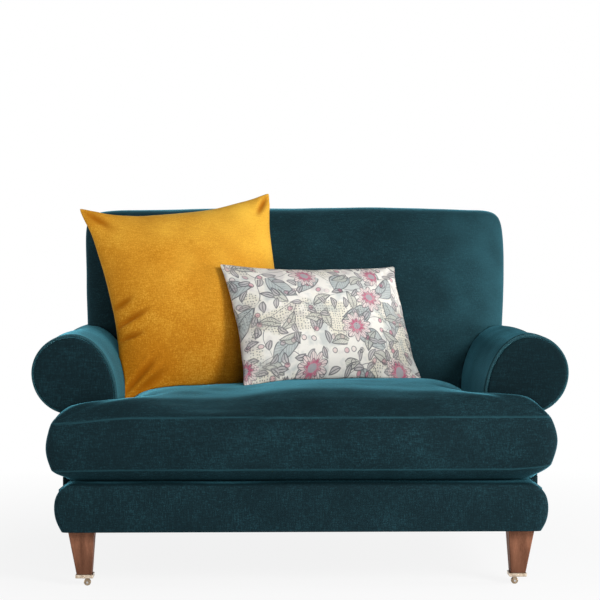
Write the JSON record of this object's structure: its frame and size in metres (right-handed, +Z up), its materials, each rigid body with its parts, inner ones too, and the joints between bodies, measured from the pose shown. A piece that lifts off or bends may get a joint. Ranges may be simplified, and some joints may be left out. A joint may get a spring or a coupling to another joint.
{
  "type": "snuggle chair",
  "caption": "Wide upholstered armchair with scroll arms, a loose T-shaped seat cushion, scatter cushions and brass castors on tapered wooden front legs.",
  "frame": {"origin": "on the floor, under the middle of the chair", "axes": "+Z up, -Y towards the front, +X towards the chair's right as seen from the front"},
  "size_m": [1.324, 0.9821, 0.9832],
  "materials": {
    "frame_timber": "planed",
    "leg_wood": "stained, satin",
    "teal_velvet": "cut pile velvet",
    "teal_piping": "cut pile velvet",
    "mustard_velvet": "cut pile velvet",
    "printed_linen": "printed plain weave",
    "deck_cloth": "plain weave",
    "dust_cloth": "matt",
    "spring_steel": "bright",
    "castor_brass": "aged",
    "glide_nylon": "matt"
  },
  "bodies": {
    "chair": {"front_seat_rail": "frame_timber", "rear_seat_rail": "frame_timber", "side_seat_rail_left": "frame_timber", "side_seat_rail_right": "frame_timber", "leg_block_front_left": "frame_timber", "leg_block_front_right": "frame_timber", "leg_block_rear_left": "frame_timber", "leg_block_rear_right": "frame_timber", "arm_scroll_board_left": "frame_timber", "arm_scroll_board_right": "frame_timber", "arm_top_rail_left": "frame_timber", "arm_top_rail_right": "frame_timber", "back_post_left": "frame_timber", "back_post_right": "frame_timber", "back_top_rail": "frame_timber", "back_tack_rail": "frame_timber", "leg_front_left": "leg_wood", "leg_front_right": "leg_wood", "leg_rear_left": "leg_wood", "leg_rear_right": "leg_wood", "arm_pad_left": "teal_velvet", "arm_pad_right": "teal_velvet", "arm_facing_left": "teal_velvet", "arm_facing_right": "teal_velvet", "outside_arm_left": "teal_velvet", "outside_arm_right": "teal_velvet", "back_pad": "teal_velvet", "outside_back": "teal_velvet", "front_border": "teal_velvet", "facing_piping_left": "teal_piping", "facing_piping_right": "teal_piping", "seat_deck": "deck_cloth", "dust_cover": "dust_cloth", "seat_spring_1": "spring_steel", "seat_spring_2": "spring_steel", "seat_spring_3": "spring_steel", "seat_spring_4": "spring_steel", "seat_spring_5": "spring_steel", "seat_spring_6": "spring_steel", "seat_spring_7": "spring_steel", "leg_bolt_front_left": "spring_steel", "leg_bolt_front_right": "spring_steel", "leg_bolt_rear_left": "spring_steel", "leg_bolt_rear_right": "spring_steel", "castor_cup_left": "castor_brass", "castor_cup_right": "castor_brass", "rear_glide_left": "glide_nylon", "rear_glide_right": "glide_nylon"},
    "seat_cushion": {"seat_cushion": "teal_velvet"},
    "mustard_cushion": {"mustard_cushion": "mustard_velvet"},
    "printed_cushion": {"printed_cushion": "printed_linen"},
    "castor_fork_left": {"castor_fork_left": "castor_brass", "castor_axle_left": "spring_steel"},
    "castor_wheel_left": {"castor_wheel_left": "castor_brass"},
    "castor_fork_right": {"castor_fork_right": "castor_brass", "castor_axle_right": "spring_steel"},
    "castor_wheel_right": {"castor_wheel_right": "castor_brass"}
  },
  "joints": [
    {"name": "seat_cushion_lift", "type": "slide", "parent": "chair", "child": "seat_cushion", "axis": [0, 0, 1], "range_m": [0, 0.3]},
    {"name": "mustard_cushion_lift", "type": "slide", "parent": "seat_cushion", "child": "mustard_cushion", "axis": [0, -0.6, 0.8], "range_m": [0, 0.3]},
    {"name": "printed_cushion_lift", "type": "slide", "parent": "mustard_cushion", "child": "printed_cushion", "axis": [0, -0.6, 0.8], "range_m": [0, 0.25]},
    {"name": "castor_swivel_left", "type": "hinge", "parent": "chair", "child": "castor_fork_left", "pos_m": [-0.5255, -0.414, 0.0085], "axis": [0, 0, 1], "continuous": true},
    {"name": "castor_roll_left", "type": "hinge", "parent": "castor_fork_left", "child": "castor_wheel_left", "pos_m": [-0.5195, -0.414, 0.0085], "axis": [0, 1, 0], "continuous": true},
    {"name": "castor_swivel_right", "type": "hinge", "parent": "chair", "child": "castor_fork_right", "pos_m": [0.5255, -0.414, 0.0085], "axis": [0, 0, 1], "continuous": true},
    {"name": "castor_roll_right", "type": "hinge", "parent": "castor_fork_right", "child": "castor_wheel_right", "pos_m": [0.5195, -0.414, 0.0085], "axis": [0, 1, 0], "continuous": true}
  ]
}
